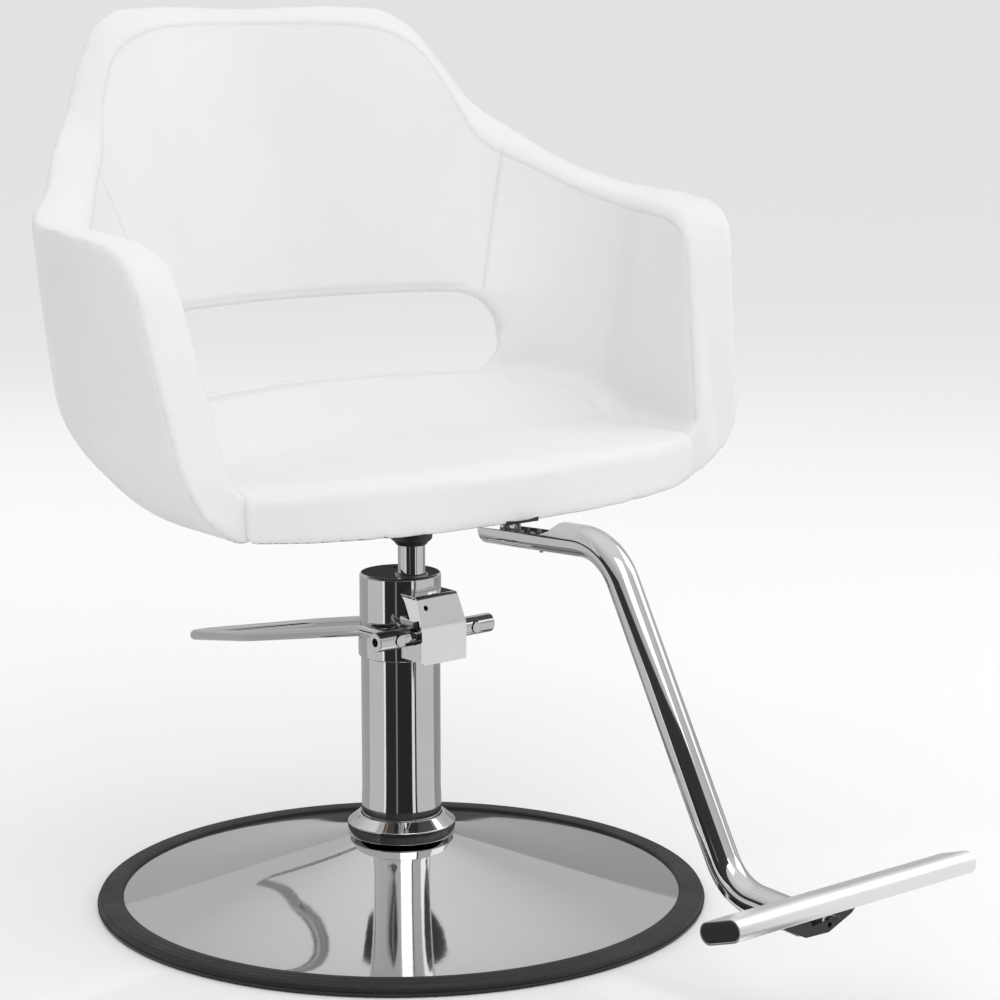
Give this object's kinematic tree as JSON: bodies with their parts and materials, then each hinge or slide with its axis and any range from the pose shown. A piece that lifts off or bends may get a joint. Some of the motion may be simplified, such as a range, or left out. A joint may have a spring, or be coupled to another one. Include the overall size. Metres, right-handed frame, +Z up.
{
  "type": "salon styling chair",
  "caption": "Hydraulic salon chair: wrap-around upholstered seat with a slot across the back, round chromed base, pump with a bent lever, and a tubular footrest.",
  "frame": {"origin": "centre of the round base, on the floor", "axes": "+Z up, the sitter faces -Y, the sitter's left is +X, the pump lever points to +Y"},
  "size_m": [0.7808, 0.9787, 0.882],
  "materials": {
    "chromed_steel": "mirror chrome",
    "plain_steel": "zinc plated or bare steel",
    "blackened_steel": "black enamel or oxide",
    "ballast_iron": "rough casting, painted dark",
    "ring_rubber": "matte ribbed rubber",
    "black_plastic": "matte moulded plastic",
    "white_upholstery": "smooth white vinyl over foam",
    "plywood": "bare plywood"
  },
  "bodies": {
    "base": {"floor_ring": "ring_rubber", "base_dish": "chromed_steel", "ballast_plate": "ballast_iron", "column_foot": "ballast_iron", "base_bolt_1": "plain_steel", "base_bolt_2": "plain_steel", "base_bolt_3": "plain_steel", "base_bolt_4": "plain_steel", "column_collar": "chromed_steel", "pump_column": "chromed_steel", "ram_barrel": "plain_steel", "pump_head": "chromed_steel", "ram_gland": "plain_steel", "oil_filler_screw": "blackened_steel", "pump_cover": "chromed_steel", "cover_screw_left": "blackened_steel", "cover_screw_right": "blackened_steel"},
    "ram_unit": {"ram": "chromed_steel", "ram_piston": "black_plastic"},
    "seat": {"swivel_hub": "blackened_steel", "mount_plate": "blackened_steel", "seat_bolt_1": "plain_steel", "seat_bolt_2": "plain_steel", "seat_bolt_3": "plain_steel", "seat_bolt_4": "plain_steel", "seat_board": "plywood", "seat_cushion": "white_upholstery", "shell": "white_upholstery", "footrest_tube": "chromed_steel", "footrest_stud_1": "plain_steel", "footrest_stud_2": "plain_steel", "footrest_nut_1": "plain_steel", "footrest_nut_2": "plain_steel", "footrest_screw": "plain_steel", "tube_end_plate": "blackened_steel", "footrest_bar": "chromed_steel", "bar_cap_left": "black_plastic", "bar_cap_right": "black_plastic"},
    "lever": {"lever_shaft": "chromed_steel", "lever_rod": "chromed_steel", "lever_set_screw_left": "blackened_steel", "lever_set_screw_right": "blackened_steel", "rocker": "plain_steel"},
    "plunger_unit": {"plunger": "plain_steel", "plunger_cap": "blackened_steel", "plunger_spring": "plain_steel"}
  },
  "joints": [
    {"name": "seat_lift", "type": "slide", "parent": "base", "child": "ram_unit", "axis": [0, 0, 1], "range_m": [0, 0.14]},
    {"name": "seat_swivel", "type": "hinge", "parent": "ram_unit", "child": "seat", "pos_m": [0, -0.018, 0.37], "axis": [0, 0, 1], "continuous": true},
    {"name": "lever_pump", "type": "hinge", "parent": "base", "child": "lever", "pos_m": [0, -0.051, 0.28], "axis": [-1, 0, 0], "range_deg": [0, 20], "stiffness_Nm_per_rad": 5, "springref_deg": -28.65},
    {"name": "plunger_stroke", "type": "slide", "parent": "base", "child": "plunger_unit", "axis": [0, 0, -1], "range_m": [0, 0.0037], "deforming": ["plunger_spring"]}
  ],
  "couplings": [
    {"joint": "plunger_stroke", "follows": "lever_pump", "m_per_rad": 0.0104}
  ]
}
